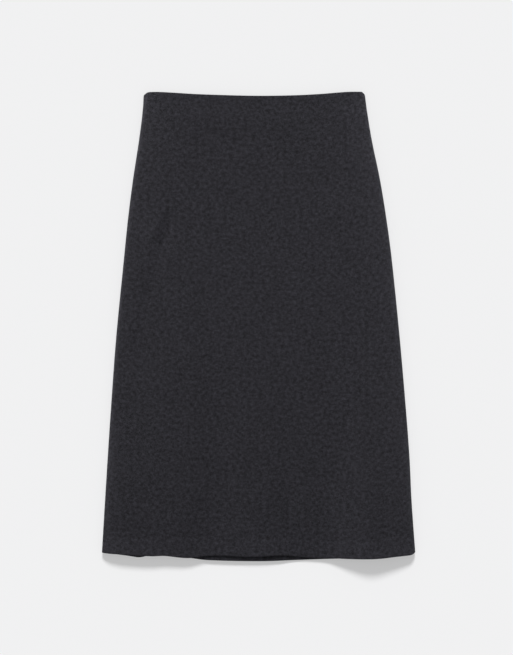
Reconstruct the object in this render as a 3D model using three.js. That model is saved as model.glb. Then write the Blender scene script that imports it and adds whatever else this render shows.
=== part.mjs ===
// A dark pencil skirt in stretch cloth, laid flat on its back, face up.
// Lengths are in millimetres. X runs across the skirt, +Y points from the hem to the waist, and +Z points up.
// The origin is on the surface that the skirt lies on, under the middle of its outline.
//
// The skirt is a flattened tube. Its back lies on the surface. Its front lies over the back and stands a little
// proud of it, in soft folds at the hem. The two meet in a seam along each side. Each panel's own edge is turned
// to the inside at the waist and at the hem, so the cloth is double there.

import * as THREE from "three";

// Driving dimensions
const LENGTH = 783; // from the highest point of the waist edge to the lowest point of the hem
const CLOTH = 1.2; // one layer of cloth
const LAYER_GAP = 0.3; // between two layers, and between the panels at a side seam
const WAIST_TURN = 42; // depth of the cloth turned in at the waist
const HEM_TURN = 28; // depth of the cloth turned up at the hem

// The outline and the depth of the tube, by distance down from the highest point of the waist edge.
// centre is the middle of the tube and width its full width. top is the height of the front along the middle, and
// seam the height of the side seams.
const SECTIONS = [
  { down: 0, centre: -7.5, width: 367.7, top: 11.4, seam: 4.0 },
  { down: 31, centre: -6.4, width: 373.6, top: 11.6, seam: 4.0 },
  { down: 81, centre: -5.4, width: 387.9, top: 12.3, seam: 4.2 },
  { down: 148, centre: -3.6, width: 411.9, top: 13.0, seam: 4.4 },
  { down: 214, centre: -2.4, width: 431.0, top: 13.4, seam: 4.6 },
  { down: 281, centre: -1.4, width: 446.6, top: 13.8, seam: 4.8 },
  { down: 414, centre: -1.2, width: 473.1, top: 14.0, seam: 5.0 },
  { down: 548, centre: -0.3, width: 494.3, top: 12.6, seam: 5.2 },
  { down: 615, centre: -0.1, width: 503.4, top: 11.8, seam: 5.4 },
  { down: 681, centre: -0.6, width: 510.5, top: 11.4, seam: 5.8 },
  { down: 783, centre: 0.0, width: 523.9, top: 11.8, seam: 6.2 },
];

// How far each panel's waist edge lies below its highest point, by place across (-1 and 1 are the side seams).
const WAIST_EDGE = [
  { across: -1.0, front: 2.6, back: 0.8 },
  { across: -0.88, front: 2.2, back: 0.2 },
  { across: -0.74, front: 3.4, back: 1.4 },
  { across: -0.5, front: 5.3, back: 4.0 },
  { across: 0.0, front: 7.8, back: 6.6 },
  { across: 0.36, front: 7.1, back: 5.8 },
  { across: 0.6, front: 5.2, back: 3.6 },
  { across: 0.85, front: 1.8, back: 0.1 },
  { across: 1.0, front: 1.3, back: 0.0 },
];
const CORNER_DROP = 4.5; // how far the waist edge falls at a side seam, where its turned layers thin out
const LEFT_CORNER = 0.955; // where across that fall starts on the left
const RIGHT_CORNER = 0.975; // and on the right

// How far down each panel's hem edge lies, by place across.
const FRONT_HEM = [
  { across: -1.0, down: 768.5 },
  { across: -0.95, down: 769.4 },
  { across: -0.87, down: 770.3 },
  { across: -0.68, down: 773.2 },
  { across: -0.6, down: 772.7 },
  { across: -0.45, down: 776.7 },
  { across: -0.29, down: 773.3 },
  { across: -0.05, down: 775.0 },
  { across: 0.16, down: 773.3 },
  { across: 0.34, down: 777.1 },
  { across: 0.52, down: 777.8 },
  { across: 0.66, down: 777.4 },
  { across: 0.78, down: 776.1 },
  { across: 0.86, down: 774.1 },
  { across: 0.93, down: 772.6 },
  { across: 0.975, down: 771.5 },
  { across: 1.0, down: 768.5 },
];
const BACK_HEM = [
  { across: -1.0, down: 768.9 },
  { across: -0.83, down: 774.7 },
  { across: -0.76, down: 777.1 },
  { across: -0.68, down: 773.4 },
  { across: -0.45, down: 777.5 },
  { across: -0.33, down: 781.1 },
  { across: 0.0, down: 783.0 },
  { across: 0.24, down: 781.4 },
  { across: 0.43, down: 779.8 },
  { across: 0.6, down: 778.3 },
  { across: 1.0, down: 768.9 },
];

// How the front rises and sinks along the hem, in soft folds that fade on the way up. high is its height at the hem
// and reach how far up it takes to settle into the tube.
const FRONT_RISE = [
  { across: -1.0, high: 11.5, reach: 200 },
  { across: -0.93, high: 16.2, reach: 330 },
  { across: -0.84, high: 18.3, reach: 400 },
  { across: -0.62, high: 17.3, reach: 380 },
  { across: -0.46, high: 14.6, reach: 340 },
  { across: -0.35, high: 11.2, reach: 320 },
  { across: -0.25, high: 10.2, reach: 300 },
  { across: -0.05, high: 12.2, reach: 260 },
  { across: 0.08, high: 12.0, reach: 260 },
  { across: 0.21, high: 7.8, reach: 280 },
  { across: 0.34, high: 6.4, reach: 240 },
  { across: 0.45, high: 8.4, reach: 260 },
  { across: 0.58, high: 18.2, reach: 360 },
  { across: 0.71, high: 26.0, reach: 430 },
  { across: 0.84, high: 22.2, reach: 400 },
  { across: 0.95, high: 16.4, reach: 330 },
  { across: 1.0, high: 12.5, reach: 200 },
];
const SHOULDER = 1.0; // how far the front sinks towards each side before the side fold

// How far the back's own hem curls up from the surface.
const BACK_CURL = [
  { across: -0.6, high: 0.0 },
  { across: -0.4, high: 3.0 },
  { across: -0.28, high: 4.0 },
  { across: 0.0, high: 4.0 },
  { across: 0.12, high: 3.2 },
  { across: 0.21, high: 1.2 },
  { across: 0.32, high: 0.0 },
];
const CURL_REACH = 80; // how far up from the hem the curl runs

// The fold along each side seam turns over this share of the half width, as part of an oval.
const FRONT_ROUND = 0.06;
const BACK_ROUND = 0.045;
const OVAL_POWER = 4; // above 2 the oval is fuller, so that the turned layers clear each other inside the fold

// How finely each wall is divided
const FRONT_COLUMNS = 40;
const BACK_COLUMNS = 28;
const PANEL_ROWS = 40;
const TURN_ROWS = 3;
const SIDE_SHARE = 0.28; // share of a wall's columns that go round the two side folds

const clothMaterial = new THREE.MeshStandardMaterial({ color: 0x2c2c2f, roughness: 0.95, metalness: 0 });
const turnedMaterial = new THREE.MeshStandardMaterial({ color: 0x28282b, roughness: 0.95, metalness: 0 });

// A smooth curve through one column of a table, as a function of the table's key.
function curveThrough(rows, key, column) {
  const slopes = rows.map((row, i) => {
    const before = rows[Math.max(i - 1, 0)];
    const after = rows[Math.min(i + 1, rows.length - 1)];
    return (after[column] - before[column]) / (after[key] - before[key]);
  });
  return (value) => {
    const at = Math.min(Math.max(value, rows[0][key]), rows[rows.length - 1][key]);
    let i = 0;
    while (i < rows.length - 2 && at > rows[i + 1][key]) i += 1;
    const span = rows[i + 1][key] - rows[i][key];
    const t = (at - rows[i][key]) / span;
    const rise = rows[i + 1][column] - rows[i][column];
    const ease = t * t * (3 - 2 * t);
    const start = t * (1 - t) * (1 - t) * span * slopes[i];
    const end = t * t * (1 - t) * span * slopes[i + 1];
    return rows[i][column] + rise * ease + start - end;
  };
}

const centreAt = curveThrough(SECTIONS, "down", "centre");
const widthAt = curveThrough(SECTIONS, "down", "width");
const topAt = curveThrough(SECTIONS, "down", "top");
const seamAt = curveThrough(SECTIONS, "down", "seam");
const frontHemAt = curveThrough(FRONT_HEM, "across", "down");
const backHemAt = curveThrough(BACK_HEM, "across", "down");
const riseAt = curveThrough(FRONT_RISE, "across", "high");
const reachAt = curveThrough(FRONT_RISE, "across", "reach");
const curlAt = curveThrough(BACK_CURL, "across", "high");

// How far down a panel's waist edge lies, as a function of the place across.
function waistEdge(panel) {
  const dip = curveThrough(WAIST_EDGE, "across", panel);
  return (across) => {
    const corner = across < 0 ? LEFT_CORNER : RIGHT_CORNER;
    const past = Math.max(0, Math.abs(across) - corner) / (1 - corner);
    return dip(across) + CORNER_DROP * past * past;
  };
}

// A smooth fall from 1 at the hem to 0 at a reach above it.
function fadeUp(down, reach) {
  const up = Math.min(Math.max((LENGTH - down) / reach, 0), 1);
  return 1 - up * up * (3 - 2 * up);
}

// Where a column of the wall stands. column runs from -1 to 1, from one side seam to the other. fall is 1 on the
// flat of the panel and goes to 0 at the seam, round the oval.
function place(column, round) {
  const side = Math.sign(column);
  const flat = 1 - SIDE_SHARE;
  const size = Math.abs(column);
  if (size <= flat) return { across: (column / flat) * (1 - round), fall: 1 };
  const angle = ((size - flat) / SIDE_SHARE) * (Math.PI / 2);
  const out = Math.sin(angle) ** (2 / OVAL_POWER);
  return { across: side * (1 - round + round * out), fall: Math.cos(angle) };
}

// Height of the front's outer face over the surface, before the side folds take it down.
function frontHeight(across, down) {
  const tube = topAt(down) - SHOULDER * across ** 4;
  return tube + (riseAt(across) - tube) * fadeUp(down, reachAt(across));
}

// The outer face of each panel, at a column and a distance down.
function frontFace(column, down) {
  const { across, fall } = place(column, FRONT_ROUND);
  const seam = seamAt(down) + LAYER_GAP / 2;
  const x = centreAt(down) + (across * widthAt(down)) / 2;
  return new THREE.Vector3(x, LENGTH / 2 - down, seam + (frontHeight(across, down) - seam) * fall);
}

function backFace(column, down) {
  const { across, fall } = place(column, BACK_ROUND);
  const seam = seamAt(down) - LAYER_GAP / 2;
  const x = centreAt(down) + (across * widthAt(down)) / 2;
  const curl = curlAt(across) * fadeUp(down, CURL_REACH);
  return new THREE.Vector3(x, LENGTH / 2 - down, seam * (1 - fall) + curl * fall);
}

// The two panels. inward is the sign that turns the face's own normal towards the inside of the tube.
const FRONT = {
  face: frontFace,
  inward: -1,
  round: FRONT_ROUND,
  columns: FRONT_COLUMNS,
  waist: waistEdge("front"),
  hem: frontHemAt,
};
const BACK = {
  face: backFace,
  inward: 1,
  round: BACK_ROUND,
  columns: BACK_COLUMNS,
  waist: waistEdge("back"),
  hem: backHemAt,
};

// The face's point moved towards the inside of the tube by a depth, square to the face.
function inside(panel, column, down, depth) {
  const step = 1e-3;
  const stepDown = 0.5;
  const over = panel.face(column + step, down).sub(panel.face(column - step, down));
  const along = panel.face(column, down - stepDown).sub(panel.face(column, down + stepDown));
  const normal = over.cross(along).normalize();
  return panel.face(column, down).addScaledVector(normal, panel.inward * depth);
}

// A closed wall of cloth between two depths under a panel's outer face. from and to give the distances down of its
// upper and lower edges, as functions of the place across.
function wall(panel, { from, to, outer, inner, rows }) {
  const columns = panel.columns;
  const positions = [];
  for (const depth of [outer, inner]) {
    for (let r = 0; r <= rows; r += 1) {
      for (let c = 0; c <= columns; c += 1) {
        const column = (2 * c) / columns - 1;
        const { across } = place(column, panel.round);
        const down = from(across) + ((to(across) - from(across)) * r) / rows;
        positions.push(...inside(panel, column, down, depth).toArray());
      }
    }
  }
  const layer = (rows + 1) * (columns + 1);
  const at = (depth, r, c) => depth * layer + r * (columns + 1) + c;
  const faces = [];
  const quad = (a, b, c, d) => faces.push(a, b, c, a, c, d);
  for (let r = 0; r < rows; r += 1) {
    for (let c = 0; c < columns; c += 1) {
      quad(at(0, r, c), at(0, r + 1, c), at(0, r + 1, c + 1), at(0, r, c + 1));
      quad(at(1, r, c), at(1, r, c + 1), at(1, r + 1, c + 1), at(1, r + 1, c));
    }
    quad(at(0, r, 0), at(1, r, 0), at(1, r + 1, 0), at(0, r + 1, 0));
    quad(at(0, r, columns), at(0, r + 1, columns), at(1, r + 1, columns), at(1, r, columns));
  }
  for (let c = 0; c < columns; c += 1) {
    quad(at(0, 0, c), at(0, 0, c + 1), at(1, 0, c + 1), at(1, 0, c));
    quad(at(0, rows, c), at(1, rows, c), at(1, rows, c + 1), at(0, rows, c + 1));
  }
  if (panel.inward > 0) faces.reverse();
  const geometry = new THREE.BufferGeometry();
  geometry.setAttribute("position", new THREE.Float32BufferAttribute(positions, 3));
  geometry.setIndex(faces);
  geometry.computeVertexNormals();
  return geometry;
}

// The panel itself, from its waist edge to its hem edge.
function panelWall(panel) {
  return wall(panel, { from: panel.waist, to: panel.hem, outer: 0, inner: CLOTH, rows: PANEL_ROWS });
}

// A turned layer lies one gap inside the panel.
const TURNED_OUTER = CLOTH + LAYER_GAP;
const TURNED_INNER = 2 * CLOTH + LAYER_GAP;

// The cloth turned in at the waist, down the inside of the panel.
function waistTurn(panel) {
  const to = (across) => panel.waist(across) + WAIST_TURN;
  return wall(panel, { from: panel.waist, to, outer: TURNED_OUTER, inner: TURNED_INNER, rows: TURN_ROWS });
}

// The cloth turned up at the hem, up the inside of the panel.
function hemTurn(panel) {
  const from = (across) => panel.hem(across) - HEM_TURN;
  return wall(panel, { from, to: panel.hem, outer: TURNED_OUTER, inner: TURNED_INNER, rows: TURN_ROWS });
}

function piece(name, geometry, material) {
  const mesh = new THREE.Mesh(geometry, material);
  mesh.name = name;
  return mesh;
}

const skirt = new THREE.Group();
skirt.add(
  piece("back_panel", panelWall(BACK), clothMaterial),
  piece("back_waist_turn_in", waistTurn(BACK), turnedMaterial),
  piece("back_hem_turn_up", hemTurn(BACK), turnedMaterial),
  piece("front_panel", panelWall(FRONT), clothMaterial),
  piece("front_waist_turn_in", waistTurn(FRONT), turnedMaterial),
  piece("front_hem_turn_up", hemTurn(FRONT), turnedMaterial),
);

export default skirt;
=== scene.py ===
# %% [markdown]
# # A pencil skirt, laid flat
#
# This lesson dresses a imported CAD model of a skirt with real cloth. The skirt is dark grey stretch
# suiting. It lies on its back on a pale table, with its front up and its waist away from us.
#
# A laid skirt is a flattened tube. It looks almost flat from above, so what makes it look real is small:
# the soft rounding along the side seams, the folded edges at the waist and the hem, shallow folds that
# run up from the hem, and the fleck of the cloth. Each of these gets its own step.
#
# The CAD model holds the true sizes. We load it first, and everything we make goes straight to its place,
# in metres.

# %% Load the frame
import math

import bmesh
import bpy
import numpy as np
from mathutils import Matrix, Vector


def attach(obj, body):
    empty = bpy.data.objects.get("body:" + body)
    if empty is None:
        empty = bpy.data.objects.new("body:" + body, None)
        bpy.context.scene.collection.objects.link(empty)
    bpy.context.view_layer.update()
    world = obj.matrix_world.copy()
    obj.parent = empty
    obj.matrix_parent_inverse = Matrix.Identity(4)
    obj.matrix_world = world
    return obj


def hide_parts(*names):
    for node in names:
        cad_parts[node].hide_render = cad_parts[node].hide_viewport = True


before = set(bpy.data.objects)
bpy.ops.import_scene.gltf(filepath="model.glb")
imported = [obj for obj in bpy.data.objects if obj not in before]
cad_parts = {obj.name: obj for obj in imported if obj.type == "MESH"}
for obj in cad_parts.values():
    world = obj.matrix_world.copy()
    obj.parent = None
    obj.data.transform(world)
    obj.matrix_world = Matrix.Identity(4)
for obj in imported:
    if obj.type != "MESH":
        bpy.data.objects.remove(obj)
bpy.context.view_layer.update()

scene = bpy.context.scene
print("CAD nodes:", ", ".join(sorted(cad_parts)))

# %% [markdown]
# ## The camera
#
# The picture is taken from straight above, with the waist at the top. A long lens keeps the near and the
# far parts of the skirt at the same scale. The camera's distance follows from the lens: the taller side
# of the picture spans the sensor, so a lens of 85 mm sees 36/85 of its distance.

# %% Put the camera straight above
MM = 0.001
LENS = 85
SENSOR = 36
PICTURE_HEIGHT = 1091.7 * MM  # what the picture spans from top to bottom, at the height of the side seams
AIM = (-3.6 * MM, -2.0 * MM, 5 * MM)

camera_data = bpy.data.cameras.new("camera")
camera_data.lens = LENS
camera_data.sensor_width = SENSOR
camera = bpy.data.objects.new("camera", camera_data)
camera.location = (AIM[0], AIM[1], AIM[2] + PICTURE_HEIGHT * LENS / SENSOR)
scene.collection.objects.link(camera)
scene.camera = camera
print("camera height in m:", round(camera.location.z, 3))

# %% [markdown]
# ## The table and the light
#
# The table is a plain pale sheet. Part of its brightness is its own glow, as on a light table, which
# keeps the faint grey halo away that a real table shows all round a thin object.
#
# The main light has two parts. A broad lamp stands low beyond the waist, so that the raised hem throws a
# soft shadow towards us. Even light from all round fills the rest. Their shares set how dark that shadow
# is.
#
# Six more lamps light nothing but the skirt. A low one on the left shows the folds, because they run up
# the skirt and the main light comes along them. One beyond the waist makes the upper part a little
# brighter than the hem. A low strip along each side, and a shorter one by each corner of the waist, let
# the rounded sides catch the light.

# %% Lay the table and light it
FLOOR_LEVEL = -0.3 * MM
FLOOR_COLOUR = (0.545, 0.545, 0.55, 1)
FLOOR_GLOW = 0.373
FLOOR_REACH = 60  # half its width in metres, so that no view sees its end close by
SKY_COLOUR = (0.985, 0.99, 1.0, 1)
SKY_STRENGTH = 0.31
LAMP_STRENGTH = 3.24
LAMP_ELEVATION = math.radians(37)
LAMP_SPREAD = math.radians(14)
SIDE_STRENGTH = 2.1
SIDE_ELEVATION = math.radians(20)
SIDE_SPREAD = math.radians(20)

# The lamps that hang close to the skirt. aim is the point of the table that each one is turned to.
CLOSE_LAMPS = {
    "waist_lamp": {"power": 3.4, "size": (0.5, 0.3), "at": (0, 0.32, 1.0), "aim": (0, 0.2)},
    "left_strip": {"power": 0.17, "size": (0.74, 0.03), "at": (-0.27, 0.05, 0.024), "aim": (-0.122, 0.0265)},
    "right_strip": {"power": 0.24, "size": (0.87, 0.03), "at": (0.267, 0, 0.024), "aim": (0.119, -0.022)},
    "left_corner": {"power": 0.012, "size": (0.14, 0.02), "at": (-0.219, 0.34, 0.02), "aim": (-0.17, 0.334)},
    "right_corner": {"power": 0.012, "size": (0.14, 0.02), "at": (0.208, 0.345, 0.02), "aim": (0.159, 0.339)},
}


def principled(material):
    """The material's Principled BSDF node."""
    material.use_nodes = True
    return material.node_tree.nodes["Principled BSDF"]


def floor_material():
    material = bpy.data.materials.new("pale_table")
    shader = principled(material)
    shader.inputs["Base Color"].default_value = FLOOR_COLOUR
    shader.inputs["Roughness"].default_value = 1.0
    shader.inputs["Specular IOR Level"].default_value = 0.0
    shader.inputs["Emission Color"].default_value = (1, 1, 1, 1)
    shader.inputs["Emission Strength"].default_value = FLOOR_GLOW
    return material


def make_floor():
    bm = bmesh.new()
    bmesh.ops.create_grid(bm, x_segments=1, y_segments=1, size=FLOOR_REACH)
    bmesh.ops.translate(bm, verts=bm.verts, vec=(0, 0, FLOOR_LEVEL))
    mesh = bpy.data.meshes.new("table")
    bm.to_mesh(mesh)
    bm.free()
    mesh.materials.append(floor_material())
    floor = bpy.data.objects.new("table", mesh)
    scene.collection.objects.link(floor)


def hang_lamp(name, kind, energy, towards):
    """A lamp that shines in one direction."""
    data = bpy.data.lights.new(name, kind)
    data.energy = energy
    hung = bpy.data.objects.new(name, data)
    hung.rotation_euler = Vector(towards).to_track_quat("-Z", "Y").to_euler()
    scene.collection.objects.link(hung)
    return hung


def make_lights():
    from_the_waist = (0, -math.cos(LAMP_ELEVATION), -math.sin(LAMP_ELEVATION))
    lamp = hang_lamp("broad_lamp", "SUN", LAMP_STRENGTH, from_the_waist)
    lamp.data.angle = LAMP_SPREAD
    world = bpy.data.worlds.new("even_light")
    world.use_nodes = True
    background = world.node_tree.nodes["Background"]
    background.inputs["Color"].default_value = SKY_COLOUR
    background.inputs["Strength"].default_value = SKY_STRENGTH
    scene.world = world
    return lamp


def make_close_lamps():
    """The lamps that light only the skirt, and the collection of what they light."""
    lit = bpy.data.collections.new("lit_by_close_lamps")
    from_the_left = (math.cos(SIDE_ELEVATION), 0, -math.sin(SIDE_ELEVATION))
    side = hang_lamp("side_lamp", "SUN", SIDE_STRENGTH, from_the_left)
    side.data.angle = SIDE_SPREAD
    side.light_linking.receiver_collection = lit
    for name, row in CLOSE_LAMPS.items():
        close = hang_lamp(name, "AREA", row["power"], Vector((*row["aim"], 0)) - Vector(row["at"]))
        close.data.shape = "RECTANGLE"
        close.data.size, close.data.size_y = row["size"]
        close.location = row["at"]
        close.visible_camera = False
        close.light_linking.receiver_collection = lit
    return lit


make_floor()
lamp = make_lights()
lit_by_close_lamps = make_close_lamps()
scene.view_settings.view_transform = "Standard"
print("lamp points along", [round(v, 2) for v in lamp.rotation_euler.to_matrix() @ Vector((0, 0, -1))])

# %% [markdown]
# ## The size of the skirt
#
# The tables below say how the tube lies. Each row of `SECTIONS` is one level, by its distance down from
# the highest point of the waist. It gives the middle of the tube, its width, the height of its front
# along the middle, and the height of the side seams. The back lies on the table.
#
# The waist and the hem are not straight. Their tables give how far down each panel's edge lies, by the
# place across, where -1 and 1 are the side seams. The back's hem is the longer one, so it peeps out below
# the front's.

# %% Sizes of the cloth
LENGTH = 783 * MM  # from the highest point of the waist to the lowest point of the hem
CLOTH = 1.2 * MM  # one layer
LAYER_GAP = 0.3 * MM  # between two layers, and between the panels at a side seam
WAIST_TURN = 42 * MM  # depth of the cloth turned in at the waist
HEM_TURN = 28 * MM  # depth of the cloth turned up at the hem
ALLOWANCE = 9 * MM  # width of the cloth inside a side seam

SECTIONS = [
    {"down": 0, "centre": -7.5, "width": 367.7, "top": 11.4, "seam": 4.0},
    {"down": 31, "centre": -6.4, "width": 373.6, "top": 11.6, "seam": 4.0},
    {"down": 81, "centre": -5.4, "width": 387.9, "top": 12.3, "seam": 4.2},
    {"down": 148, "centre": -3.6, "width": 411.9, "top": 13.0, "seam": 4.4},
    {"down": 214, "centre": -2.4, "width": 431.0, "top": 13.4, "seam": 4.6},
    {"down": 281, "centre": -1.4, "width": 446.6, "top": 13.8, "seam": 4.8},
    {"down": 414, "centre": -1.2, "width": 473.1, "top": 14.0, "seam": 5.0},
    {"down": 548, "centre": -0.3, "width": 494.3, "top": 12.6, "seam": 5.2},
    {"down": 615, "centre": -0.1, "width": 503.4, "top": 11.8, "seam": 5.4},
    {"down": 681, "centre": -0.6, "width": 510.5, "top": 11.4, "seam": 5.8},
    {"down": 783, "centre": 0.0, "width": 523.9, "top": 11.8, "seam": 6.2},
]

WAIST_EDGE = [
    {"across": -1.0, "front": 2.6, "back": 0.8},
    {"across": -0.88, "front": 2.2, "back": 0.2},
    {"across": -0.74, "front": 3.4, "back": 1.4},
    {"across": -0.5, "front": 5.3, "back": 4.0},
    {"across": 0.0, "front": 7.8, "back": 6.6},
    {"across": 0.36, "front": 7.1, "back": 5.8},
    {"across": 0.6, "front": 5.2, "back": 3.6},
    {"across": 0.85, "front": 1.8, "back": 0.1},
    {"across": 1.0, "front": 1.3, "back": 0.0},
]
CORNER_DROP = 4.5  # how far the waist edge falls at a side seam
LEFT_CORNER = 0.955  # where across that fall starts on the left
RIGHT_CORNER = 0.975  # and on the right

FRONT_HEM = [
    {"across": -1.0, "down": 768.5},
    {"across": -0.95, "down": 769.4},
    {"across": -0.87, "down": 770.3},
    {"across": -0.68, "down": 773.2},
    {"across": -0.6, "down": 772.7},
    {"across": -0.45, "down": 776.7},
    {"across": -0.29, "down": 773.3},
    {"across": -0.05, "down": 775.0},
    {"across": 0.16, "down": 773.3},
    {"across": 0.34, "down": 777.1},
    {"across": 0.52, "down": 777.8},
    {"across": 0.66, "down": 777.4},
    {"across": 0.78, "down": 776.1},
    {"across": 0.86, "down": 774.1},
    {"across": 0.93, "down": 772.6},
    {"across": 0.975, "down": 771.5},
    {"across": 1.0, "down": 768.5},
]

BACK_HEM = [
    {"across": -1.0, "down": 768.9},
    {"across": -0.83, "down": 774.7},
    {"across": -0.76, "down": 777.1},
    {"across": -0.68, "down": 773.4},
    {"across": -0.45, "down": 777.5},
    {"across": -0.33, "down": 781.1},
    {"across": 0.0, "down": 783.0},
    {"across": 0.24, "down": 781.4},
    {"across": 0.43, "down": 779.8},
    {"across": 0.6, "down": 778.3},
    {"across": 1.0, "down": 768.9},
]

# %% A smooth curve through one column of a table


def curve_through(rows, key, column):
    """The column as a smooth function of the key, both in the table's own units."""
    at = np.array([row[key] for row in rows], float)
    value = np.array([row[column] for row in rows], float)
    order = np.arange(len(at))
    before = np.maximum(order - 1, 0)
    after = np.minimum(order + 1, len(at) - 1)
    slope = (value[after] - value[before]) / (at[after] - at[before])

    def curve(place):
        place = np.clip(place, at[0], at[-1])
        i = np.clip(np.searchsorted(at, place, side="right") - 1, 0, len(at) - 2)
        span = at[i + 1] - at[i]
        t = (place - at[i]) / span
        rise = (value[i + 1] - value[i]) * t * t * (3 - 2 * t)
        start = t * (1 - t) ** 2 * span * slope[i]
        end = t * t * (1 - t) * span * slope[i + 1]
        return value[i] + rise + start - end

    return curve


def of_down(column):
    """A column of SECTIONS in metres, as a function of the distance down in metres."""
    curve = curve_through(SECTIONS, "down", column)
    return lambda down: curve(down / MM) * MM


def waist_edge(panel):
    """How far down a panel's waist edge lies, as a function of the place across."""
    dip = curve_through(WAIST_EDGE, "across", panel)

    def edge(across):
        corner = np.where(across < 0, LEFT_CORNER, RIGHT_CORNER)
        past = np.maximum(0, np.abs(across) - corner) / (1 - corner)
        return (dip(across) + CORNER_DROP * past**2) * MM

    return edge


def hem_edge(rows):
    """How far down a panel's hem edge lies, as a function of the place across."""
    curve = curve_through(rows, "across", "down")
    return lambda across: curve(across) * MM


centre_at = of_down("centre")
width_at = of_down("width")
top_at = of_down("top")
seam_at = of_down("seam")
print("width 200 mm down, in mm:", round(float(width_at(0.2)) / MM, 1))

# %% [markdown]
# ## Folds and creases
#
# The front stands a little proud of the back. Along the hem it rises and sinks in broad folds, and they
# decide what the hem's shadow looks like. A table gives its height at the hem, and how far up each place
# takes to settle into the tube. The back's own hem curls up a little in the middle, so its edge throws a
# short shadow too.
#
# On top of them lie the small marks that handling leaves: soft troughs and ridges along a line, at most
# two and a half millimetres high. They are listed one row each, because a laid skirt has few of
# them and each has its own place. The turned edges also print through to the outside as a faint step. The
# doubled cloth sinks a little towards the waist's edge, and along the hem stitches wherever the front
# stands high enough.

# %% Broad folds that run up from the hem
FRONT_RISE = [
    {"across": -1.0, "high": 11.5, "reach": 200},
    {"across": -0.93, "high": 16.2, "reach": 330},
    {"across": -0.84, "high": 18.3, "reach": 400},
    {"across": -0.62, "high": 17.3, "reach": 380},
    {"across": -0.46, "high": 14.6, "reach": 340},
    {"across": -0.35, "high": 11.2, "reach": 320},
    {"across": -0.25, "high": 10.2, "reach": 300},
    {"across": -0.05, "high": 12.2, "reach": 260},
    {"across": 0.08, "high": 12.0, "reach": 260},
    {"across": 0.21, "high": 7.8, "reach": 280},
    {"across": 0.34, "high": 6.4, "reach": 240},
    {"across": 0.45, "high": 8.4, "reach": 260},
    {"across": 0.58, "high": 18.2, "reach": 360},
    {"across": 0.71, "high": 26.0, "reach": 430},
    {"across": 0.84, "high": 22.2, "reach": 400},
    {"across": 0.95, "high": 16.4, "reach": 330},
    {"across": 1.0, "high": 12.5, "reach": 200},
]
SHOULDER = 1.0  # how far the front sinks towards each side before the side fold

BACK_CURL = [
    {"across": -0.6, "high": 0.0},
    {"across": -0.4, "high": 3.0},
    {"across": -0.28, "high": 4.0},
    {"across": 0.0, "high": 4.0},
    {"across": 0.12, "high": 3.2},
    {"across": 0.21, "high": 1.2},
    {"across": 0.32, "high": 0.0},
]
CURL_REACH = 80  # how far up from the hem the curl runs


def ease(t):
    """A smooth step from 0 to 1."""
    t = np.clip(t, 0, 1)
    return t * t * (3 - 2 * t)


rise_at = curve_through(FRONT_RISE, "across", "high")
reach_at = curve_through(FRONT_RISE, "across", "reach")
curl_at = curve_through(BACK_CURL, "across", "high")


def fade_up(down, reach):
    """A smooth fall from 1 at the hem to 0 at a reach above it."""
    return 1 - ease((LENGTH - down) / MM / reach)


def broad_height(across, down):
    """Height of the front's outer face from the tube and its broad folds."""
    tube = top_at(down) / MM - SHOULDER * across**4
    return (tube + (rise_at(across) - tube) * fade_up(down, reach_at(across))) * MM


def curl_height(across, down):
    """How far the back's outer face stands off the table."""
    return curl_at(across) * fade_up(down, CURL_REACH) * MM


# %% Soft creases, each along a line
# x and down are where a crease starts, and to_x and to_down where it ends. wide is its half width, and high
# its height, which is below 0 for a trough.
CREASES = [
    {"x": -53, "down": 430, "to_x": -62, "to_down": 740, "wide": 31, "high": -1.8},
    {"x": 36, "down": 500, "to_x": 44, "to_down": 745, "wide": 20, "high": -1.3},
    {"x": -30, "down": 330, "to_x": -22, "to_down": 640, "wide": 30, "high": 0.9},
    {"x": 169, "down": 90, "to_x": 160, "to_down": 280, "wide": 24, "high": 1.4},
    {"x": 130, "down": 245, "to_x": 122, "to_down": 335, "wide": 17, "high": 1.0},
    {"x": -145, "down": 200, "to_x": -160, "to_down": 258, "wide": 13, "high": -2.4},
    {"x": -160, "down": 196, "to_x": -175, "to_down": 254, "wide": 12, "high": 1.4},
    {"x": -155, "down": 238, "to_x": -187, "to_down": 345, "wide": 12, "high": -1.2},
    {"x": -186, "down": 325, "to_x": -200, "to_down": 440, "wide": 12, "high": -1.1},
    {"x": -199, "down": 425, "to_x": -206, "to_down": 530, "wide": 12, "high": -0.7},
    {"x": -168, "down": 285, "to_x": -186, "to_down": 470, "wide": 25, "high": -1.3},
    {"x": -236, "down": 490, "to_x": -250, "to_down": 745, "wide": 16, "high": 2.2},
    {"x": 238, "down": 540, "to_x": 250, "to_down": 750, "wide": 16, "high": 2.4},
    {"x": -106, "down": 62, "to_x": -22, "to_down": 90, "wide": 9, "high": -1.0},
    {"x": -108, "down": 76, "to_x": -24, "to_down": 104, "wide": 20, "high": -1.1},
    {"x": -178, "down": 12, "to_x": -173, "to_down": 19, "wide": 4, "high": 0.7},
    {"x": -168, "down": 14, "to_x": -161, "to_down": 30, "wide": 5, "high": -0.6},
    {"x": 138, "down": 11, "to_x": 151, "to_down": 24, "wide": 4, "high": -0.7},
    {"x": 143, "down": 9, "to_x": 157, "to_down": 20, "wide": 4, "high": 0.6},
    {"x": 168, "down": 60, "to_x": 120, "to_down": 125, "wide": 14, "high": -0.5},
    {"x": 205, "down": 330, "to_x": 150, "to_down": 372, "wide": 13, "high": -0.6},
    {"x": -214, "down": 420, "to_x": -150, "to_down": 452, "wide": 12, "high": -0.5},
    {"x": 214, "down": 560, "to_x": 182, "to_down": 610, "wide": 14, "high": -0.7},
    {"x": -150, "down": 640, "to_x": -205, "to_down": 700, "wide": 15, "high": -0.7},
]

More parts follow.
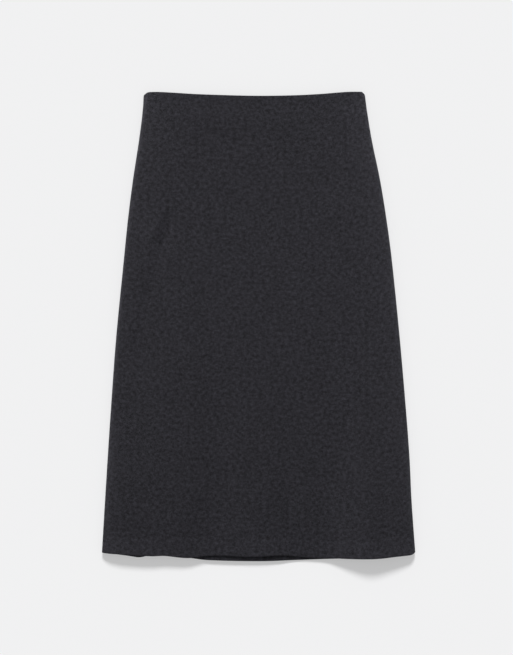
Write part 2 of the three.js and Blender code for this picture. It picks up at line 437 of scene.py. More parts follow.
# The back lies on its creases, so on that side they are all shallow troughs, seen from below.
BACK_CREASES = [
    {"x": -150, "down": 120, "to_x": -120, "to_down": 300, "wide": 16, "high": 0.7},
    {"x": 140, "down": 70, "to_x": 158, "to_down": 260, "wide": 14, "high": 0.6},
    {"x": 60, "down": 40, "to_x": -20, "to_down": 66, "wide": 10, "high": 0.5},
    {"x": -60, "down": 420, "to_x": -76, "to_down": 700, "wide": 22, "high": 0.9},
    {"x": 66, "down": 470, "to_x": 84, "to_down": 740, "wide": 20, "high": 0.9},
    {"x": 190, "down": 330, "to_x": 120, "to_down": 372, "wide": 13, "high": 0.6},
    {"x": -204, "down": 520, "to_x": -130, "to_down": 556, "wide": 13, "high": 0.6},
    {"x": 168, "down": 640, "to_x": 212, "to_down": 705, "wide": 15, "high": 0.7},
]
CREASE_SLOPE = 2.2  # how steeply a crease grows from its two ends
CREASE_START = 0.3  # and how far it has grown at the very end

STEP_HEIGHT = 0.35  # how far the doubled cloth stands over the single cloth
STEP_WIDTH = 6 * MM
WAIST_ROLL = 1.8  # how far the waist's doubled cloth sinks towards its edge
HEM_DIP = 1.8  # how far the front sinks along the hem stitches where it stands high
LOW_HEM = 6.5  # the height at which there is no room for that
HIGH_HEM = 12.5  # and the height from which there is room for all of it
DIP_HOLDS = 1.1  # how far above the hem the dip starts to fade, in depths of the turned hem
DIP_FADES = 2.6  # and over what distance


def crease_height(creases, x, down):
    """What a table of creases adds to a panel's height."""
    height = np.zeros(np.broadcast(x, down).shape)
    for crease in creases:
        along_x = (crease["to_x"] - crease["x"]) * MM
        along_down = (crease["to_down"] - crease["down"]) * MM
        length = math.hypot(along_x, along_down)
        from_x = x - crease["x"] * MM
        from_down = down - crease["down"] * MM
        t = (from_x * along_x + from_down * along_down) / length**2
        off = (from_x * along_down - from_down * along_x) / length / (crease["wide"] * MM)
        ends = ease(CREASE_SLOPE * (1 - np.abs(2 * t - 1)) + CREASE_START)
        height = height + crease["high"] * ends * np.exp(-(off**2))
    return height * MM


def step_height(across, down, waist, hem):
    """The faint step where the turned edges end, and how the doubled cloth leans."""
    from_waist = down - waist(across) - WAIST_TURN
    from_hem = hem(across) - HEM_TURN - down
    doubled = 2 - ease(from_waist / STEP_WIDTH + 0.5) - ease(from_hem / STEP_WIDTH + 0.5)
    roll = WAIST_ROLL * np.clip(-from_waist / WAIST_TURN, 0, 1)
    above_hem = np.maximum(hem(across) - down, 0) / HEM_TURN
    dip = np.sin(math.pi / 2 * np.minimum(above_hem, 1)) * (1 - ease((above_hem - DIP_HOLDS) / DIP_FADES))
    room = ease((rise_at(across) - LOW_HEM) / (HIGH_HEM - LOW_HEM))
    return (STEP_HEIGHT * doubled - roll - HEM_DIP * room * dip) * MM


print("the hem's highest fold in mm:", round(float(rise_at(0.71)), 1))
print("soft creases:", len(CREASES), "in front and", len(BACK_CREASES), "behind")

# %% [markdown]
# ## Where each point of the cloth goes
#
# A panel is one sheet of cloth with all its turned edges. We give each point of it two numbers, as a
# cutter would. The first is its place across: -1 to 1 from side seam to side seam, and past 1 the
# distance into the seam allowance. The second is its place along: 0 to 1 from the waist fold to the hem
# fold, below 0 the distance into the waist's turned edge, and past 1 the distance into the hem's.
#
# Two small functions fold the sheet. One bends it round a half circle at the waist and the hem and says
# how deep inside the panel it then lies. The other rounds it off towards the side seams, along part of an
# oval, and turns the allowance in.

# %% Fold the sheet at the waist and the hem
FOLD_RADIUS = CLOTH + LAYER_GAP / 2  # outer radius of a folded edge, so that the two layers lie one gap apart
TURNED_DEPTH = 2 * FOLD_RADIUS
ROUND_FOLD = math.pi * FOLD_RADIUS  # length of cloth in the half circle


def fold_along(along, across, waist, hem):
    """The distance down and the depth inside the panel of a point of the sheet."""
    top = waist(across) + FOLD_RADIUS
    bottom = hem(across) - FOLD_RADIUS
    inside = np.maximum(-along, along - 1).clip(0)
    angle = np.minimum(inside / FOLD_RADIUS, math.pi)
    bulge = FOLD_RADIUS * np.sin(angle)
    straight = np.maximum(inside - ROUND_FOLD, 0)
    down = top + (bottom - top) * np.clip(along, 0, 1)
    down = np.where(along < 0, down - bulge + straight, down)
    down = np.where(along > 1, down + bulge - straight, down)
    return down, FOLD_RADIUS * (1 - np.cos(angle))


# %% Round the sheet off towards the side seams
SIDE_SHARE = 0.16  # share of a panel's columns that go round its side folds
FRONT_ROUND = 0.06  # width of the side fold, as a share of the half width
BACK_ROUND = 0.045
OVAL_POWER = 4
SEAM_RADIUS = 1.3 * MM  # outer radius of the cloth where it turns in at the seam
ROUND_SEAM = SEAM_RADIUS * math.pi / 2
ALLOWANCE_GAP = 2 * MM  # between a seam allowance and the turned edges
ALLOWANCE_TOP = (WAIST_TURN + ALLOWANCE_GAP) / LENGTH
ALLOWANCE_BOTTOM = 1 - (HEM_TURN + ALLOWANCE_GAP) / LENGTH


def flat_across(column, round_share):
    """The place across of a column before the side fold, with the share of the fold's run and its fall."""
    size = np.minimum(np.abs(column), 1)
    flat = 1 - SIDE_SHARE
    angle = np.clip((size - flat) / SIDE_SHARE, 0, 1) * math.pi / 2
    run = np.sin(angle) ** (2 / OVAL_POWER)
    start = np.minimum(size / flat, 1) * (1 - round_share)
    return start, run, np.cos(angle)


def round_off(column, down, depth, round_share):
    """x of a point of the sheet, its fall from the flat of the panel to the seam, and its place across."""
    start, run, fall = flat_across(column, round_share)
    half = width_at(down) / 2
    into = np.maximum(np.abs(column) - 1, 0)
    angle = np.minimum(into / SEAM_RADIUS, math.pi / 2)
    turned = SEAM_RADIUS * (1 - np.cos(angle)) + np.maximum(into - ROUND_SEAM, 0)
    out = half * start + (half * round_share - depth) * run - turned
    across = start + round_share * run
    return centre_at(down) + np.sign(column) * out, fall, np.sign(column) * across


def seam_drop(column, down):
    """How far a point of the seam allowance has turned from upright, and how far it sags."""
    into = np.maximum(np.abs(column) - 1, 0)
    turned = SEAM_RADIUS * np.sin(np.minimum(into / SEAM_RADIUS, math.pi / 2))
    rest = seam_at(down) - 2 * CLOTH - LAYER_GAP
    return turned, rest * ease(into / ALLOWANCE)


# %% The two faces of the tube
RIPPLES = [
    {"every": 23, "high": 0.16, "shift": 0.4},
    {"every": 14.5, "high": 0.12, "shift": 2.1},
    {"every": 37, "high": 0.2, "shift": 4.0},
]
SIDE_SHIFT = 1.7  # so that the two seams don't wave alike


def seam_ripple(down, shift):
    """The slight waviness of a sewn seam, in metres."""
    turns = 2 * math.pi * down / MM
    return sum(r["high"] * np.sin(turns / r["every"] + r["shift"] + shift) for r in RIPPLES) * MM


def seam_line(column, down):
    """Height of the seam, with its waviness, which differs on the two sides."""
    return seam_at(down) + seam_ripple(down, SIDE_SHIFT * np.sign(column))


def front_point(column, along):
    """Where a point of the front's sheet lies."""
    waist, hem = FRONT["waist"], FRONT["hem"]
    start, run, _ = flat_across(column, FRONT_ROUND)
    down, depth = fold_along(along, np.sign(column) * (start + FRONT_ROUND * run), waist, hem)
    x, fall, across = round_off(column, down, depth, FRONT_ROUND)
    turned, sag = seam_drop(column, down)
    foot = seam_line(column, down) + LAYER_GAP / 2 + SEAM_RADIUS * (1 - depth / TURNED_DEPTH)
    over = broad_height(across, down) + crease_height(CREASES, x, down)
    over = over + step_height(across, down, waist, hem)
    z = foot + (over - depth - foot) * fall - turned - sag
    return np.stack([x, LENGTH / 2 - down, z], axis=-1)


def back_point(column, along):
    """Where a point of the back's sheet lies."""
    start, run, _ = flat_across(column, BACK_ROUND)
    down, depth = fold_along(along, np.sign(column) * (start + BACK_ROUND * run), BACK["waist"], BACK["hem"])
    x, fall, across = round_off(column, down, depth, BACK_ROUND)
    turned, sag = seam_drop(column, down)
    foot = seam_line(column, down) - LAYER_GAP / 2 - SEAM_RADIUS * (1 - depth / TURNED_DEPTH)
    under = depth + curl_height(across, down) + crease_height(BACK_CREASES, x, down)
    z = under + (foot - under) * (1 - fall) + turned - sag
    return np.stack([x, LENGTH / 2 - down, z], axis=-1)


FRONT = {
    "waist": waist_edge("front"),
    "hem": hem_edge(FRONT_HEM),
    "point": front_point,
    "round": FRONT_ROUND,
    "up": 1,
}
BACK = {
    "waist": waist_edge("back"),
    "hem": hem_edge(BACK_HEM),
    "point": back_point,
    "round": BACK_ROUND,
    "up": -1,
}
middle = front_point(np.array([0.0]), np.array([0.5]))[0]
print("front's middle in mm:", [round(float(v) / MM, 1) for v in middle])

# %% [markdown]
# ## Sewing a panel
#
# Each panel starts as a plain grid. Its edges are then extruded, strip by strip, for everything that is
# turned to the inside: round the seam and along the allowance at the sides, round the fold and up or down
# the inside at the hem and the waist. Only at the end does each vertex go to its place, because each one
# carries its two numbers in layers, and an extruded vertex keeps the numbers of the one it came from.
#
# Solidify then gives the sheet its thickness towards the inside of the tube, where the wrong side of the
# cloth is.

# %% Extrude a run of edges


def boundary(bm, test):
    """The boundary edges whose two vertices pass a test."""
    return [edge for edge in bm.edges if edge.is_boundary and all(test(vert) for vert in edge.verts)]


def extend(bm, edges, layer, values):
    """Extrudes edges once for each value, which the new vertices take in that layer."""
    for value in values:
        made = bmesh.ops.extrude_edge_only(bm, edges=edges)["geom"]
        fresh = {item for item in made if isinstance(item, bmesh.types.BMVert)}
        for vert in fresh:
            vert[layer] = value
        made_edges = [item for item in made if isinstance(item, bmesh.types.BMEdge)]
        edges = [edge for edge in made_edges if fresh.issuperset(edge.verts)]


def steps(start, end, count):
    """Evenly spaced values after start, up to end."""
    return np.linspace(start, end, count + 1)[1:]


# %% Cut, fold and place a panel
FOLD_STEPS = 6
SEAM_STEPS = 4
ALLOWANCE_STEPS = 4
TURN_STEP = 4 * MM  # length of cloth in each strip of a turned edge
SIDE_EXTRA = 6 * MM  # what the cloth's way down a side fold adds to its way across
NEAR = 1e-6


def panel_sheet(columns, rows):
    """A bmesh of the flat sheet with its turned edges, whose layers hold each point's two numbers."""
    bm = bmesh.new()
    bmesh.ops.create_grid(bm, x_segments=columns, y_segments=rows, size=1)
    across = bm.verts.layers.float.new("across")
    along = bm.verts.layers.float.new("along")
    for vert in bm.verts:
        vert[across] = vert.co.x
        vert[along] = (1 - vert.co.y) / 2
    for end, turn in ((0, WAIST_TURN), (1, HEM_TURN)):
        out = 2 * end - 1
        edge = boundary(bm, lambda vert: abs(vert[along] - end) < NEAR)
        round_fold = steps(end, end + out * ROUND_FOLD, FOLD_STEPS)
        inside = steps(round_fold[-1], end + out * (ROUND_FOLD + turn), round(turn / TURN_STEP))
        extend(bm, edge, along, [*round_fold, *inside])
    for side in (-1, 1):
        edge = boundary(bm, lambda vert: abs(vert[across] - side) < NEAR and -NEAR < vert[along] < 1 + NEAR)
        round_seam = steps(side, side * (1 + ROUND_SEAM), SEAM_STEPS)
        extend(bm, edge, across, round_seam)
        reached = round_seam[-1]
        edge = boundary(bm, lambda vert: abs(vert[across] - reached) < NEAR)
        edge = [e for e in edge if all(ALLOWANCE_TOP < v[along] < ALLOWANCE_BOTTOM for v in e.verts)]
        extend(bm, edge, across, steps(reached, reached + side * ALLOWANCE, ALLOWANCE_STEPS))
    return bm, across, along


def cloth_length(column, along, panel):
    """How far along the cloth a point is: across from the middle, and down from the waist."""
    start, run, fall = flat_across(column, panel["round"])
    half = width_at(np.clip(along, 0, 1) * LENGTH) / 2
    side = panel["round"] * half * run + SIDE_EXTRA * (1 - fall)
    into = np.maximum(np.abs(column) - 1, 0)
    over = np.minimum(along, 0) + np.maximum(along - 1, 0)
    return np.sign(column) * (start * half + side + into), np.clip(along, 0, 1) * LENGTH + over


def make_panel(name, panel, columns, rows):
    """A panel as an object, facing outwards, with its pattern coordinates in metres."""
    bm, across, along = panel_sheet(columns, rows)
    column = np.array([vert[across] for vert in bm.verts])
    place = np.array([vert[along] for vert in bm.verts])
    for vert, point in zip(bm.verts, panel["point"](column, place)):
        vert.co = point
    bmesh.ops.recalc_face_normals(bm, faces=bm.faces)
    bm.faces.ensure_lookup_table()
    middle_face = min(bm.faces, key=lambda face: face.calc_center_median().xy.length)
    if middle_face.normal.z * panel["up"] < 0:
        bmesh.ops.reverse_faces(bm, faces=bm.faces)
    pattern_u, pattern_v = cloth_length(column, place, panel)
    uv = bm.loops.layers.uv.new("pattern")
    bm.verts.index_update()
    for face in bm.faces:
        face.smooth = True
        for loop in face.loops:
            loop[uv].uv = (pattern_u[loop.vert.index], -pattern_v[loop.vert.index])
    area = sum(face.calc_area() for face in bm.faces)
    mesh = bpy.data.meshes.new(name)
    bm.to_mesh(mesh)
    bm.free()
    piece = bpy.data.objects.new(name, mesh)
    scene.collection.objects.link(piece)
    thickness = piece.modifiers.new("cloth thickness", "SOLIDIFY")
    thickness.thickness = CLOTH
    thickness.offset = -1
    thickness.use_even_offset = True
    thickness.material_offset = 1
    print(name, "cloth in square metres:", round(area, 3))
    return piece


front = make_panel("front", FRONT, columns=150, rows=250)
back = make_panel("back", BACK, columns=120, rows=200)

# %% [markdown]
# ## Sewing
#
# All the sewing is inside, so one has to look into the tube to find it. The raw edges of the turned cloth
# and of the seam allowances are overlocked: two threads loop to and fro over the edge, one on each side
# of the cloth, and a straight thread holds them. A hem stitch catches the turned edge to the panel every
# few millimetres. The seam thread crosses from panel to panel at the bottom of the groove along each
# side.
#
# A stitch is found in the same way as the cloth itself, by its two numbers on the sheet. Each path of
# points then becomes a round thread.

# %% Points on the two sides of the cloth
THREAD_RADIUS = 0.12 * MM
OVERLOCK_WIDTH = 4 * MM
OVERLOCK_PITCH = 3 * MM
HEM_STITCH = 8 * MM
HEM_STITCHED = 0.8  # how far across the hem stitches reach
STITCH_INSET = 2 * MM  # how far below the turned edge a hem stitch catches it
STITCH_RISE = 2.5 * MM  # and how far above it that stitch catches the panel
SEAM_STITCH = 2.6 * MM
SEAM_END = 0.004  # where along the seam its thread starts, and as far before the end it stops
SEAM_GROOVE = 0.85  # how far round the turn into the seam the thread lies


def on_cloth(panel, column, along, side):
    """Where a thread lies on the cloth: side is 1 for the right side and -1 for the wrong side."""
    small = 1e-4
    column, along = np.broadcast_arrays(column, along)
    point = panel["point"](column, along)
    over = panel["point"](column + small, along) - panel["point"](column - small, along)
    down = panel["point"](column, along + small) - panel["point"](column, along - small)
    normal = -panel["up"] * np.cross(over, down)
    normal /= np.linalg.norm(normal, axis=-1, keepdims=True)
    lift = THREAD_RADIUS if side > 0 else -CLOTH - THREAD_RADIUS
    return point + lift * normal


# %% The paths of the threads
def overlock(panel, length, place):
    """The threads of an overlocked edge. place(t, into) is the point t along it and so far into the cloth."""
    count = round(length / OVERLOCK_PITCH)
    t = np.linspace(0, 1, 2 * count + 1)
    at_edge = np.arange(len(t)) % 2 == 0
    into = np.where(at_edge, -THREAD_RADIUS, OVERLOCK_WIDTH)
    right = on_cloth(panel, *place(t, into), 1)
    wrong = on_cloth(panel, *place(t, into), -1)
    tip = (right + wrong) / 2
    right[at_edge] = tip[at_edge]
    wrong[at_edge] = tip[at_edge]
    straight = on_cloth(panel, *place(t[::2], OVERLOCK_WIDTH), 1)
    return [right, wrong, straight]


def allowance_edge(side):
    """The place on the sheet of a point of a seam allowance's raw edge."""
    raw_edge = 1 + ROUND_SEAM + ALLOWANCE
    run = ALLOWANCE_BOTTOM - ALLOWANCE_TOP
    return lambda t, into: (side * (raw_edge - into), ALLOWANCE_TOP + run * t)


def overlocked_edges(panel):
    """All the overlocking of a panel: the waist's turned edge, the hem's, and the two seam allowances."""
    edges = [
        (width_at(0), lambda t, into: (2 * t - 1, into - ROUND_FOLD - WAIST_TURN)),
        (width_at(LENGTH), lambda t, into: (2 * t - 1, 1 + ROUND_FOLD + HEM_TURN - into)),
    ]
    for side in (-1, 1):
        edges.append((LENGTH * (ALLOWANCE_BOTTOM - ALLOWANCE_TOP), allowance_edge(side)))
    return [path for length, place in edges for path in overlock(panel, float(length), place)]


def hem_stitches(panel):
    """The thread that catches the hem's turned edge to the wrong side of the panel."""
    count = round(float(width_at(LENGTH)) / HEM_STITCH)
    column = np.linspace(-HEM_STITCHED, HEM_STITCHED, 2 * count + 1)
    on_turned = on_cloth(panel, column, 1 + ROUND_FOLD + HEM_TURN - STITCH_INSET, 1)
    on_panel = on_cloth(panel, column, 1 - (HEM_TURN + STITCH_RISE) / LENGTH, -1)
    caught = np.arange(len(column)) % 2 == 0
    return [np.where(caught[:, None], on_turned, on_panel)]


def seam_stitches(side):
    """The thread that crosses from the front to the back along a side seam."""
    count = round(LENGTH / SEAM_STITCH)
    along = np.linspace(SEAM_END, 1 - SEAM_END, 2 * count + 1)
    column = side * (1 + SEAM_GROOVE * ROUND_SEAM)
    in_front = np.arange(len(along)) % 2 == 0
    return np.where(in_front[:, None], on_cloth(FRONT, column, along, 1), on_cloth(BACK, column, along, 1))


# %% Round threads along the paths
def make_threads(name, paths):
    """Threads as one mesh, four-sided because they are so thin."""
    curve = bpy.data.curves.new(name, "CURVE")
    curve.dimensions = "3D"
    curve.bevel_depth = THREAD_RADIUS
    curve.bevel_resolution = 0
    for path in paths:
        spline = curve.splines.new("POLY")
        spline.points.add(len(path) - 1)
        spline.points.foreach_set("co", np.column_stack([path, np.ones(len(path))]).ravel())
    drawn = bpy.data.objects.new(name, curve)
    scene.collection.objects.link(drawn)
    mesh = bpy.data.meshes.new_from_object(drawn.evaluated_get(bpy.context.evaluated_depsgraph_get()))
    bpy.data.objects.remove(drawn)
    bpy.data.curves.remove(curve)
    threads = bpy.data.objects.new(name, mesh)
    scene.collection.objects.link(threads)
    print(name, "threads:", len(paths), "faces:", len(mesh.polygons))
    return threads


threads = [
    make_threads("front_overlocking", overlocked_edges(FRONT) + hem_stitches(FRONT)),
    make_threads("back_overlocking", overlocked_edges(BACK) + hem_stitches(BACK)),
    make_threads("side_seam_stitches", [seam_stitches(-1), seam_stitches(1)]),
]
for piece in (front, back, *threads):
    lit_by_close_lamps.objects.link(piece)

# %% [markdown]
# ## The cloth
#
# The cloth is a stretch suiting in dark grey melange. Its yarn is spun from darker and lighter fibres, so
# from a step away it shows a fine fleck of about two millimetres. Close up it has a fine twill. A short
# nap makes it catch a little light where it turns away from us, which is what sheen does in the shader.
#
# The fleck and the twill are one node group, because the right side and the wrong side both use them,
# each with its own values. The group reads the panel's own pattern coordinates, so that the twill follows
# the cloth round its folded edges. A second group finds two places along the hem and the waist: the doubled
# cloth, whose colour is made a little lighter as a painted highlight, and the row of tiny pits where the hem
# stitches pull from the inside, whose colour is made darker as painted shade.

# %% Node helpers


def new_group(name, inputs, outputs):
    """An empty shader group with named sockets, and its two end nodes."""
    group = bpy.data.node_groups.new(name, "ShaderNodeTree")
    for label, kind, value in inputs:
        socket = group.interface.new_socket(name=label, in_out="INPUT", socket_type=kind)
        if value is not None:
            socket.default_value = value
    for label, kind in outputs:
        group.interface.new_socket(name=label, in_out="OUTPUT", socket_type=kind)
    start = group.nodes.new("NodeGroupInput")
    end = group.nodes.new("NodeGroupOutput")
    return group, start.outputs, end.inputs


def plug(tree, value, socket):
    """Gives a socket a link or a plain value."""
    if isinstance(value, bpy.types.NodeSocket):
        tree.links.new(value, socket)
    else:
        socket.default_value = value


def maths(tree, operation, *values):
    """A Math node's result."""
    node = tree.nodes.new("ShaderNodeMath")
    node.operation = operation
    for value, socket in zip(values, node.inputs):
        plug(tree, value, socket)
    return node.outputs[0]


def stretched(tree, vector, scale):
    """A vector multiplied by a scale along each axis."""
    node = tree.nodes.new("ShaderNodeVectorMath")
    node.operation = "MULTIPLY"
    plug(tree, vector, node.inputs[0])
    plug(tree, scale, node.inputs[1])
    return node.outputs[0]


def noise(tree, vector, scale, detail, roughness):
    """Flat noise around 0, about 0.5 either way."""
    node = tree.nodes.new("ShaderNodeTexNoise")
    node.noise_dimensions = "2D"
    plug(tree, stretched(tree, vector, scale), node.inputs["Vector"])
    node.inputs["Scale"].default_value = 1
    node.inputs["Detail"].default_value = detail
    node.inputs["Roughness"].default_value = roughness
    return maths(tree, "SUBTRACT", node.outputs["Fac"], 0.5)


def mixed(tree, share, first, second):
    """A colour between two colours."""
    node = tree.nodes.new("ShaderNodeMix")
    node.data_type = "RGBA"
    plug(tree, share, node.inputs["Factor"])
    plug(tree, first, node.inputs["A"])
    plug(tree, second, node.inputs["B"])
    return node.outputs["Result"]


def weighted(tree, *parts):
    """The sum of some values, each multiplied by its weight."""
    total = None
    for value, weight in parts:
        part = maths(tree, "MULTIPLY", value, weight)
        total = part if total is None else maths(tree, "ADD", total, part)
    return total


# %% The melange twill
# How many times each noise changes in a metre: across the cloth and along it.
SHADE_GRAIN = (26, 20, 1)
FLECK_GRAIN = (158, 184, 1)
WARP_GRAIN = (1900, 150, 1)
WEFT_GRAIN = (150, 1900, 1)
HAIR_GRAIN = (700, 2400, 1)
HAIR_WANDER = 2.0  # how far stray hairs push the rib aside
MIDDLE_TONE = 0.4  # share of the light fibre where nothing changes it
SHADE_WEIGHT = 0.16


def melange_twill():
    """Fleck and twill: a colour between dark and light fibres, and a height for the bump.

    Warp and weft yarns have tones of their own, streaked along their length. The slanted rib decides which
    of the two lies on top.
    """
    group, given, result = new_group(
        "melange_twill",
        [
            ("Vector", "NodeSocketVector", None),
            ("Dark Fibre", "NodeSocketColor", (0.01, 0.01, 0.01, 1)),
            ("Light Fibre", "NodeSocketColor", (0.05, 0.05, 0.05, 1)),
            ("Fleck", "NodeSocketFloat", 1.0),
            ("Twill Pitch", "NodeSocketFloat", 1.1 * MM),
        ],
        [("Color", "NodeSocketColor"), ("Height", "NodeSocketFloat")],
    )
    vector = given["Vector"]
    shade = noise(group, vector, SHADE_GRAIN, 3, 0.6)
    fleck = noise(group, vector, FLECK_GRAIN, 5, 0.72)
    warp = noise(group, vector, WARP_GRAIN, 2, 0.6)
    weft = noise(group, vector, WEFT_GRAIN, 2, 0.6)
    hairs = noise(group, vector, HAIR_GRAIN, 2, 0.6)
    split = group.nodes.new("ShaderNodeSeparateXYZ")
    plug(group, vector, split.inputs[0])
    turn = maths(group, "DIVIDE", 2 * math.pi, given["Twill Pitch"])
    rising = maths(group, "MULTIPLY", maths(group, "ADD", split.outputs["X"], split.outputs["Y"]), turn)
    falling = maths(group, "MULTIPLY", maths(group, "SUBTRACT", split.outputs["X"], split.outputs["Y"]), turn)
    rib = maths(group, "SINE", maths(group, "ADD", rising, maths(group, "MULTIPLY", hairs, HAIR_WANDER)))
    cross = maths(group, "SINE", maths(group, "MULTIPLY", falling, 0.5))
    over = maths(group, "ADD", maths(group, "MULTIPLY", rib, 0.5), 0.5)
    yarn = maths(group, "ADD", weft, maths(group, "MULTIPLY", over, maths(group, "SUBTRACT", warp, weft)))
    stray = maths(group, "ADD", yarn, hairs)
    height = weighted(group, (rib, 0.5), (cross, 0.2), (fleck, 0.7), (stray, 0.6))
    share = weighted(group, (fleck, 1.6), (yarn, 1.3), (rib, 0.24))
    share = maths(group, "MULTIPLY", share, given["Fleck"])
    share = maths(group, "ADD", share, maths(group, "MULTIPLY", shade, SHADE_WEIGHT))
    share = maths(group, "ADD", share, MIDDLE_TONE)
    group.links.new(mixed(group, share, given["Dark Fibre"], given["Light Fibre"]), result["Color"])
    group.links.new(height, result["Height"])
    return group


# %% What sewing does to the cloth, and the painted highlight along the doubled edges
PIT_SPACING = 7.2 * MM  # between the tiny pits that the hem stitches pull from the inside
PIT_WIDTH = 0.9 * MM  # half the width of a pit
PIT_HEIGHT = 0.6 * MM  # and half its height
PIT_DEPTH = 1.5  # how deep a pit is, in the units of the twill's height
PIT_SHADE = 0.35  # painted shade: how much darker the colour is in a pit
WAIST_HIGHLIGHT = 0.3  # how strong the painted highlight is along the waist, as a share of the hem's


def clipped(tree, value, low, high):
    """How far a value is between two limits, from 0 to 1, eased at both ends."""
    node = tree.nodes.new("ShaderNodeMapRange")
    node.interpolation_type = "SMOOTHSTEP"
    plug(tree, value, node.inputs["Value"])
    node.inputs["From Min"].default_value = low
    node.inputs["From Max"].default_value = high
    return node.outputs["Result"]


def edge_highlight_and_pits():
    """Masks for the painted highlight on the doubled cloth at the hem and the waist, and for the pits of the
    hem stitches.
    """
    group, given, result = new_group(
        "edge_highlight_and_pits",
        [("Vector", "NodeSocketVector", None)],
        [("Painted Highlight", "NodeSocketFloat"), ("Pit", "NodeSocketFloat")],
    )
    split = group.nodes.new("ShaderNodeSeparateXYZ")
    plug(group, given["Vector"], split.inputs[0])
    from_hem = maths(group, "ADD", split.outputs["Y"], LENGTH)
    from_waist = maths(group, "MULTIPLY", split.outputs["Y"], -1)
    past_hem = clipped(group, from_hem, HEM_TURN - 6 * MM, HEM_TURN + 5 * MM)
    past_waist = clipped(group, from_waist, WAIST_TURN - 4 * MM, WAIST_TURN + 4 * MM)
    highlight_mask = maths(group, "SUBTRACT", 1 + WAIST_HIGHLIGHT, past_hem)
    highlight_mask = maths(group, "SUBTRACT", highlight_mask, maths(group, "MULTIPLY", past_waist, WAIST_HIGHLIGHT))
    group.links.new(highlight_mask, result["Painted Highlight"])
    turns = maths(group, "ADD", maths(group, "DIVIDE", split.outputs["X"], PIT_SPACING), 0.5)
    sideways = maths(group, "SUBTRACT", maths(group, "FRACT", turns), 0.5)
    sideways = maths(group, "MULTIPLY", sideways, PIT_SPACING / PIT_WIDTH)
    upward = maths(group, "SUBTRACT", from_hem, HEM_TURN + STITCH_RISE)
    upward = maths(group, "DIVIDE", upward, PIT_HEIGHT)
    squares = maths(group, "ADD", maths(group, "POWER", sideways, 2), maths(group, "POWER", upward, 2))
    group.links.new(maths(group, "SUBTRACT", 1, clipped(group, squares, 0.1, 1)), result["Pit"])
    return group


TWILL = melange_twill()
EDGES = edge_highlight_and_pits()
print("group", TWILL.name, "has", len(TWILL.nodes), "nodes, group", EDGES.name, "has", len(EDGES.nodes))

# %% The right side and the wrong side of the cloth
PAINTED_HIGHLIGHT = 0.09  # painted highlight: how much lighter the colour is on the doubled cloth at the hem and the waist
CLOTH_RELIEF = 0.25 * MM  # how high the bump stands at full strength
DARK_FIBRE = (0.0026, 0.0025, 0.0032, 1)


def cloth_material(name, dark, light, fleck, pitch, relief):
    """A matt cloth with a fleck and a twill."""
    material = bpy.data.materials.new(name)
    shader = principled(material)
    tree = material.node_tree
    coordinates = tree.nodes.new("ShaderNodeUVMap")
    coordinates.uv_map = "pattern"
    twill = tree.nodes.new("ShaderNodeGroup")
    twill.node_tree = TWILL
    tree.links.new(coordinates.outputs["UV"], twill.inputs["Vector"])
    twill.inputs["Dark Fibre"].default_value = dark
    twill.inputs["Light Fibre"].default_value = light
    twill.inputs["Fleck"].default_value = fleck
    twill.inputs["Twill Pitch"].default_value = pitch
    edges = tree.nodes.new("ShaderNodeGroup")
    edges.node_tree = EDGES
    tree.links.new(coordinates.outputs["UV"], edges.inputs["Vector"])
    pit = edges.outputs["Pit"]
    # The colour is made lighter on the doubled cloth at the hem and the waist: a painted highlight.
    tone = maths(tree, "ADD", 1, maths(tree, "MULTIPLY", edges.outputs["Painted Highlight"], PAINTED_HIGHLIGHT))
    # The colour is made darker in the pits of the hem stitches: painted shade.
    tone = maths(tree, "SUBTRACT", tone, maths(tree, "MULTIPLY", pit, PIT_SHADE))
    bump = tree.nodes.new("ShaderNodeBump")
    bump.inputs["Strength"].default_value = relief
    bump.inputs["Distance"].default_value = CLOTH_RELIEF
    relief_height = maths(tree, "SUBTRACT", twill.outputs["Height"], maths(tree, "MULTIPLY", pit, PIT_DEPTH))
    tree.links.new(relief_height, bump.inputs["Height"])
    tree.links.new(bump.outputs["Normal"], shader.inputs["Normal"])
    tree.links.new(stretched(tree, twill.outputs["Color"], tone), shader.inputs["Base Color"])
    shader.inputs["Roughness"].default_value = 0.92
    shader.inputs["Specular IOR Level"].default_value = 0.16
    shader.inputs["Sheen Weight"].default_value = 0.05
    shader.inputs["Sheen Roughness"].default_value = 0.35
    shader.inputs["Sheen Tint"].default_value = (0.8, 0.82, 0.9, 1)
    return material


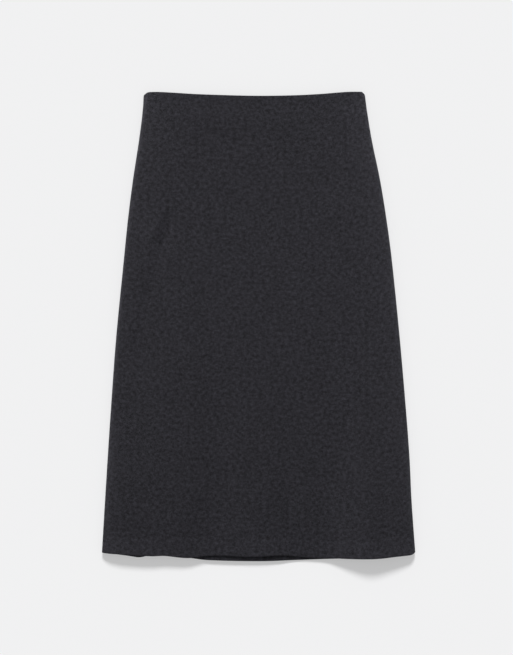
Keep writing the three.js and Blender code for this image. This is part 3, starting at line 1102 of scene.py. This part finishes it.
RIGHT_SIDE = cloth_material(
    "suiting_right_side", DARK_FIBRE, (0.0281, 0.0273, 0.0341, 1), fleck=1.0, pitch=1.1 * MM, relief=0.6
)
WRONG_SIDE = cloth_material(
    "suiting_wrong_side", DARK_FIBRE, (0.0235, 0.0229, 0.0284, 1), fleck=0.7, pitch=1.6 * MM, relief=0.5
)
for piece in (front, back):
    piece.data.materials.append(RIGHT_SIDE)
    piece.data.materials.append(WRONG_SIDE)


# %% The thread
TWIST_LENGTH = 0.4 * MM  # between two ripples of the thread's twist
TWIST_RELIEF = 0.03 * MM
THREAD_DARK = (0.006, 0.006, 0.007, 1)
THREAD_LIGHT = (0.022, 0.022, 0.025, 1)


def thread_material():
    """Dark polyester thread, smoother than the cloth, with its twist as a slanted ripple."""
    material = bpy.data.materials.new("sewing_thread")
    shader = principled(material)
    tree = material.node_tree
    coordinates = tree.nodes.new("ShaderNodeTexCoord")
    place = coordinates.outputs["Object"]
    split = tree.nodes.new("ShaderNodeSeparateXYZ")
    plug(tree, place, split.inputs[0])
    slant = maths(tree, "ADD", maths(tree, "ADD", split.outputs["X"], split.outputs["Y"]), split.outputs["Z"])
    twist = maths(tree, "SINE", maths(tree, "MULTIPLY", slant, 2 * math.pi / TWIST_LENGTH))
    fuzz = noise(tree, place, (3000, 3000, 1), 2, 0.6)
    share = maths(tree, "ADD", maths(tree, "MULTIPLY", twist, 0.2), maths(tree, "ADD", fuzz, 0.5))
    colour = mixed(tree, share, THREAD_DARK, THREAD_LIGHT)
    tree.links.new(colour, shader.inputs["Base Color"])
    bump = tree.nodes.new("ShaderNodeBump")
    bump.inputs["Strength"].default_value = 0.5
    bump.inputs["Distance"].default_value = TWIST_RELIEF
    tree.links.new(twist, bump.inputs["Height"])
    tree.links.new(bump.outputs["Normal"], shader.inputs["Normal"])
    shader.inputs["Roughness"].default_value = 0.55
    shader.inputs["Specular IOR Level"].default_value = 0.4
    return material


THREAD = thread_material()
for piece in threads:
    piece.data.materials.append(THREAD)

# %% [markdown]
# ## Fasten everything to the frame
#
# The skirt has no moving parts, so both panels ride on the one body. Each panel is one sheet with its
# turned edges, so it stands for the CAD panel and for its two turned strips.

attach(front, "root")
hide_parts("front_panel", "front_waist_turn_in", "front_hem_turn_up")
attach(back, "root")
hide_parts("back_panel", "back_waist_turn_in", "back_hem_turn_up")
for piece in threads:
    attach(piece, "root")
